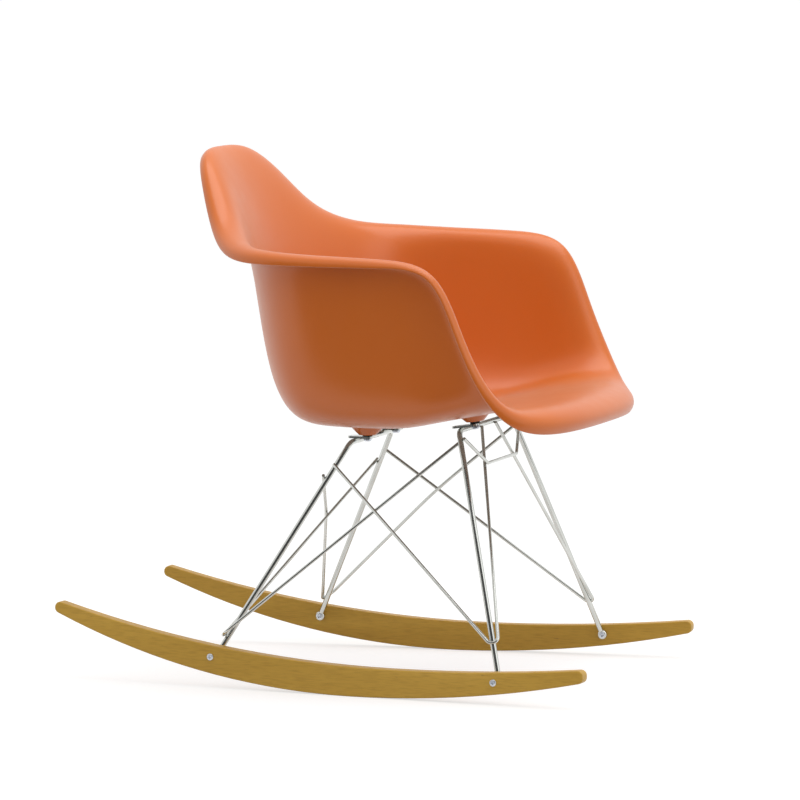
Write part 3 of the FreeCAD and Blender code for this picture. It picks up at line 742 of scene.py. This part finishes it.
def add_wires():
    """The four looped wires and the wire that hangs under the front crossbar."""
    front = front_wire_points()
    rear = rear_wire_points(front[1], front[2])
    front_bar = (FRONT_LEG[0] * FLIP, FRONT_LEG[0])
    tip = past(butt_end(front_bar, front[0], front[1]), front[1], FRONT_WIRE_INTO_WELD)
    front_points = [tip, front[1], past(front[2], front[1], FRONT_WIRE_TAIL)]
    tangent = unit(rear[1] - rear[0]) + unit(rear[2] - rear[1])
    apart = unit(np.cross(tangent, tangent * FLIP))
    for word, side, mirror in (("left", 1, 1), ("right", -1, FLIP)):
        add_bar("front_wire_" + word, [point * mirror for point in front_points], [FRONT_LOOP_RADIUS],
                WIRE_DIAMETER, "wire_front_" + word)
        crossing = rear[1] + apart * (side * (WIRE_DIAMETER + WELD_GAP) / 2)
        middle = pressed_corner(rear[0], rear[2], crossing)
        end = past(butt_end(FRONT_LEG, rear[5], rear[4]), rear[4], REAR_WIRE_INTO_WELD)
        rear_points = [past(rear[0], middle, REAR_WIRE_TAIL), middle, rear[2], rear[3], rear[4], end]
        add_bar("rear_wire_" + word, [point * mirror for point in rear_points],
                [WIRE_CROSS_RADIUS, WIRE_BEND_RADIUS, REAR_LOOP_RADIUS, WIRE_CROSS_RADIUS],
                WIRE_DIAMETER, "wire_rear_" + word)
    normal = side_normal((front[1], front[0]), X_AXIS, -Y_AXIS)
    corner = on_line_at_height((front[0], front[1]), TRUSS_Z) + normal * (WIRE_DIAMETER + WELD_GAP)
    end = beside(FRONT_LEG, on_line_at_height(FRONT_LEG, TRUSS_END_Z), corner, -Y_AXIS)
    tip = past(end, corner, TRUSS_TAIL)
    add_bar("hung_wire", [tip * FLIP, corner * FLIP, corner, tip], [WIRE_BEND_RADIUS] * 2,
            WIRE_DIAMETER, "truss_wire")


def add_lug_ends():
    """Round ends of the runner screws with a socket, turned about the lugs' axes.

    A ring is face + r (cos(a) across + sin(a) up) + h inward, with r and h from the profile.
    """
    radius, height = np.array(LUG_END_PROFILE).T[:, :, None, None]
    rows = len(LUG_END_PROFILE)
    grids = []
    faces = []
    for line in (FRONT_LEG, REAR_LEG):
        for side, mirror in ((1, 1), (-1, FLIP)):
            inward = np.array([-side * math.cos(RUNNER_TOE), -math.sin(RUNNER_TOE), 0])
            face = line[1] * mirror + inward * (LUG_LENGTH / 2)
            spokes = ring_of_spokes(BAR_SIDES, np.cross(Z_AXIS, inward), Z_AXIS)
            offset = len(grids) * rows * BAR_SIDES
            faces += grid_faces(rows, BAR_SIDES, offset) + [end_cap(rows, BAR_SIDES, offset)]
            grids.append(face + spokes * radius + inward * height)
    add_piece("lug_screw_ends", np.array(grids).reshape(-1, 3) * MM, faces, STEEL)


add_bosses(add_shell())
add_leg_rod("front_rod", FRONT_LEG, "front_leg_rod")
add_leg_rod("rear_rod", REAR_LEG, "rear_leg_rod")
add_wires()
add_lug_ends()


# Finishes of the CAD nodes


def dress(words, material):
    """Gives a material to the CAD nodes whose names hold one of the words."""
    for name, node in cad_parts.items():
        if any(word in name for word in words):
            node.data.materials.clear()
            node.data.materials.append(material)


dress(["runner_left", "runner_right"], MAPLE)
dress(["spacers"], RUBBER)
dress(["inserts", "washers", "screws"], STEEL)
dress(["rod", "wire", "plate", "lug"], CHROME)


# Floor, light and camera


def shows_background(nodes, links):
    """1 for rays from the camera and for mirrored and refracted ones, else 0."""
    path = nodes.new("ShaderNodeLightPath")
    first = nodes.new("ShaderNodeMath")
    second = nodes.new("ShaderNodeMath")
    first.operation = second.operation = "MAXIMUM"
    links.new(path.outputs["Is Camera Ray"], first.inputs[0])
    links.new(path.outputs["Is Glossy Ray"], first.inputs[1])
    links.new(first.outputs["Value"], second.inputs[0])
    links.new(path.outputs["Is Transmission Ray"], second.inputs[1])
    return second.outputs["Value"]


def add_choice(nodes, links, plain, shown, output):
    """Shows one shader to background rays and another to all the rest."""
    choice = nodes.new("ShaderNodeMixShader")
    links.new(shows_background(nodes, links), choice.inputs["Fac"])
    links.new(plain, choice.inputs[1])
    links.new(shown, choice.inputs[2])
    links.new(choice.outputs["Shader"], output.inputs["Surface"])


def add_sheet(name, corners, material):
    """One flat face of the stage."""
    mesh = bpy.data.meshes.new(name)
    mesh.from_pydata(corners, [], [(0, 1, 2, 3)])
    mesh.materials.append(material)
    sheet = bpy.data.objects.new(name, mesh)
    bpy.context.scene.collection.objects.link(sheet)
    return sheet


def add_floor():
    """Pale floor that looks white but for the chair's shadow."""
    material, nodes, links = new_material("pale_floor")
    paint = nodes["Principled BSDF"]
    set_inputs(paint, Base_Color=(FLOOR_SHADE, FLOOR_SHADE, FLOOR_SHADE, 1), Roughness=1.0,
               Specular_IOR_Level=0.0)
    glow = nodes.new("ShaderNodeEmission")
    set_inputs(glow, Strength=FLOOR_GLOW)
    both = nodes.new("ShaderNodeAddShader")
    links.new(paint.outputs["BSDF"], both.inputs[0])
    links.new(glow.outputs["Emission"], both.inputs[1])
    add_choice(nodes, links, paint.outputs["BSDF"], both.outputs["Shader"], nodes["Material Output"])
    half = FLOOR_HALF
    add_sheet("floor", [(-half, -half, 0), (half, -half, 0), (half, half, 0), (-half, half, 0)], material)


def add_dark_card(name, corners, shade):
    """Dark card of a studio, seen only as a dark zone in polished surfaces."""
    material, nodes, _ = new_material(name)
    set_inputs(nodes["Principled BSDF"], Base_Color=(shade, shade, shade, 1), Roughness=1.0)
    card = add_sheet(name, [tuple(corner) for corner in corners], material)
    card.visible_camera = False
    card.visible_diffuse = False
    card.visible_shadow = False


def add_dark_cards():
    """A dark wall beside the chair, a darker strip before it and a dark card on the floor."""
    angle = math.radians(CAMERA_AZIMUTH)
    away = np.array([math.sin(angle), -math.cos(angle), 0])
    along = np.array([math.cos(angle), math.sin(angle), 0])
    for name, distance, behind, before, high, shade in DARK_WALLS:
        left = away * distance - along * behind
        right = away * distance + along * before
        add_dark_card(name, [left, right, right + Z_AXIS * high, left + Z_AXIS * high], shade)
    edges = []
    for distance, behind, before in (DARK_GROUND_NEAR, DARK_GROUND_FAR):
        edge = away * distance + Z_AXIS * DARK_GROUND_LIFT
        edges.append([edge - along * behind, edge + along * before])
    add_dark_card("dark_ground", edges[0] + edges[1][::-1], DARK_GROUND_SHADE)


def add_area_light(name, place, aim, size, power):
    """A rectangular lamp that faces a point."""
    light = bpy.data.lights.new(name, "AREA")
    light.shape = "RECTANGLE"
    light.size, light.size_y = size
    light.energy = power
    lamp = bpy.data.objects.new(name, light)
    bpy.context.scene.collection.objects.link(lamp)
    lamp.visible_camera = False
    lamp.location = place
    lamp.rotation_euler = (Vector(aim) - Vector(place)).to_track_quat("-Z", "Y").to_euler()


def add_world():
    """Even light all round, and white wherever the background itself is seen."""
    world = bpy.data.worlds.new("studio")
    bpy.context.scene.world = world
    world.use_nodes = True
    nodes, links = world.node_tree.nodes, world.node_tree.links
    light = nodes["Background"]
    white = nodes.new("ShaderNodeBackground")
    set_inputs(light, Color=WHITE, Strength=WORLD_LIGHT)
    set_inputs(white, Color=WHITE, Strength=1.0)
    add_choice(nodes, links, light.outputs["Background"], white.outputs["Background"],
               nodes["World Output"])


def add_camera():
    """The camera looks at its target from an azimuth, an elevation and a distance."""
    azimuth = math.radians(CAMERA_AZIMUTH)
    elevation = math.radians(CAMERA_ELEVATION)
    level = math.cos(elevation)
    towards = Vector((math.sin(azimuth) * level, -math.cos(azimuth) * level, math.sin(elevation)))
    data = bpy.data.cameras.new("camera")
    data.lens = CAMERA_LENS
    data.sensor_width = CAMERA_SENSOR
    data.clip_end = CAMERA_CLIP_END
    camera = bpy.data.objects.new("camera", data)
    bpy.context.scene.collection.objects.link(camera)
    camera.location = Vector(CAMERA_TARGET) + towards * CAMERA_DISTANCE
    camera.rotation_euler = (-towards).to_track_quat("-Z", "Y").to_euler()
    bpy.context.scene.camera = camera


add_floor()
add_dark_cards()
for softbox in SOFTBOXES:
    add_area_light(*softbox)
add_world()
add_camera()
bpy.context.scene.view_settings.view_transform = "Standard"
